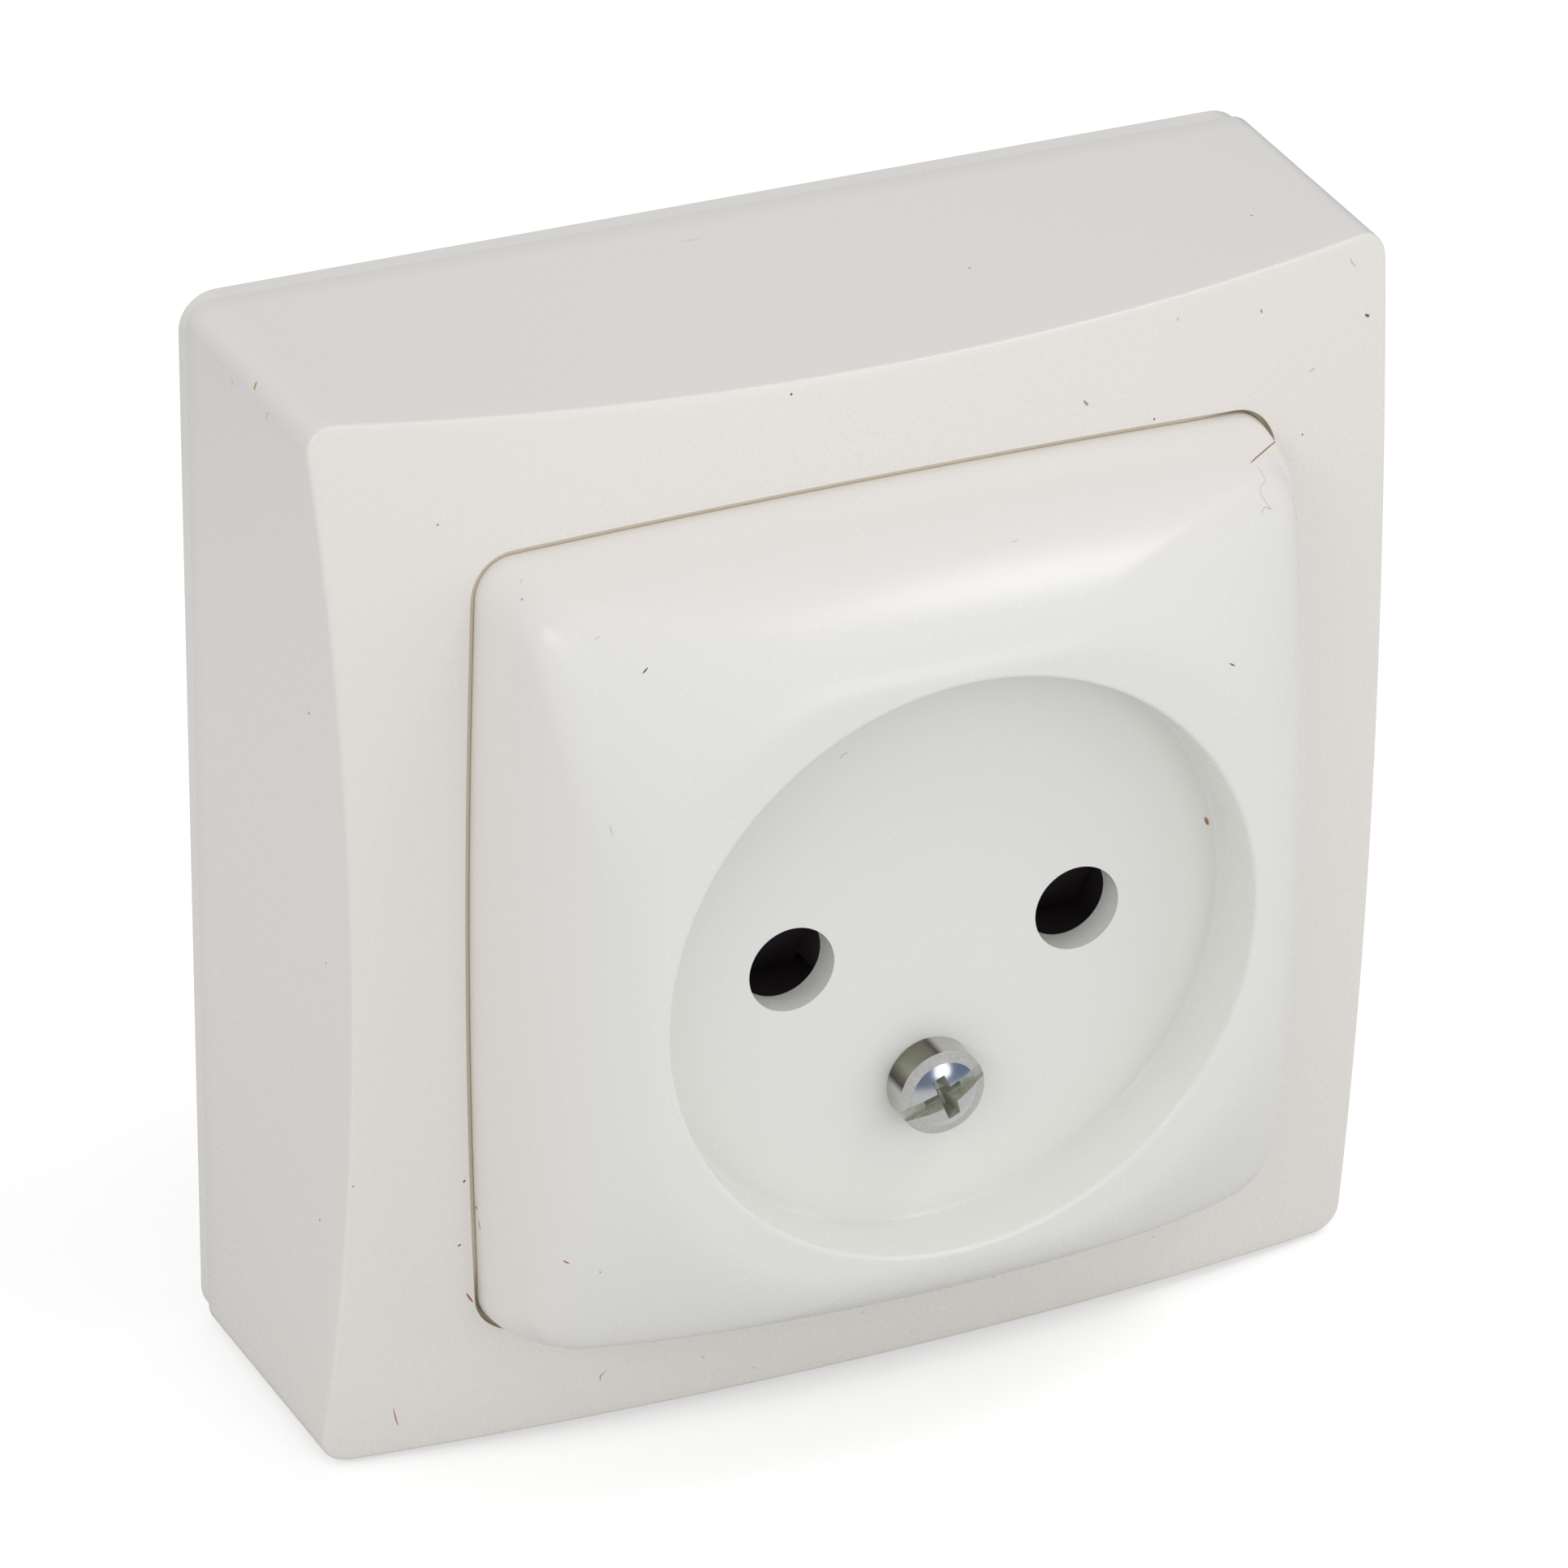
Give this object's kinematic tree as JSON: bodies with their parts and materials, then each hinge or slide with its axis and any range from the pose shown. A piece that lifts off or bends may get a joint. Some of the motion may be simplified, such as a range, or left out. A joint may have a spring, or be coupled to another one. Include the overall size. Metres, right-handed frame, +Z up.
{
  "type": "surface mounted socket",
  "caption": "White surface mounted two-pole mains socket: square housing with a crowned front, domed cover plate with a round plug well, shuttered pin holes and a cover screw.",
  "frame": {"origin": "centre of the wall plate's back face, on the wall", "axes": "+Y into the wall, so the front looks along -Y; +Z up the wall; +X to the right as seen from the front"},
  "size_m": [0.0714, 0.036, 0.0714],
  "materials": {
    "white_plastic": "satin moulded",
    "cover_plastic": "satin moulded",
    "black_plastic": "matt moulded",
    "grey_plastic": "matt moulded",
    "brass": "plain",
    "plated_steel": "zinc plated"
  },
  "bodies": {
    "socket": {"base_plate": "white_plastic", "housing": "white_plastic", "cover_plate": "cover_plastic", "cover_screw": "plated_steel", "screw_insert": "brass", "mechanism_body": "grey_plastic", "mechanism_screws": "plated_steel", "contact_left": "brass", "contact_right": "brass", "contact_spring_left": "plated_steel", "contact_spring_right": "plated_steel", "terminal_left": "brass", "terminal_right": "brass", "terminal_screws_left": "plated_steel", "terminal_screws_right": "plated_steel", "wire_plate_left": "plated_steel", "wire_plate_right": "plated_steel", "shutter_frame": "black_plastic", "shutter_spring": "plated_steel"},
    "shutter": {"shutter": "black_plastic"}
  },
  "joints": [
    {"name": "shutter_slide", "type": "slide", "parent": "socket", "child": "shutter", "axis": [0, 0, 1], "range_m": [0, 0.0064], "stiffness_N_per_m": 150, "springref_m": -0.004, "deforming": ["shutter_spring"]}
  ]
}
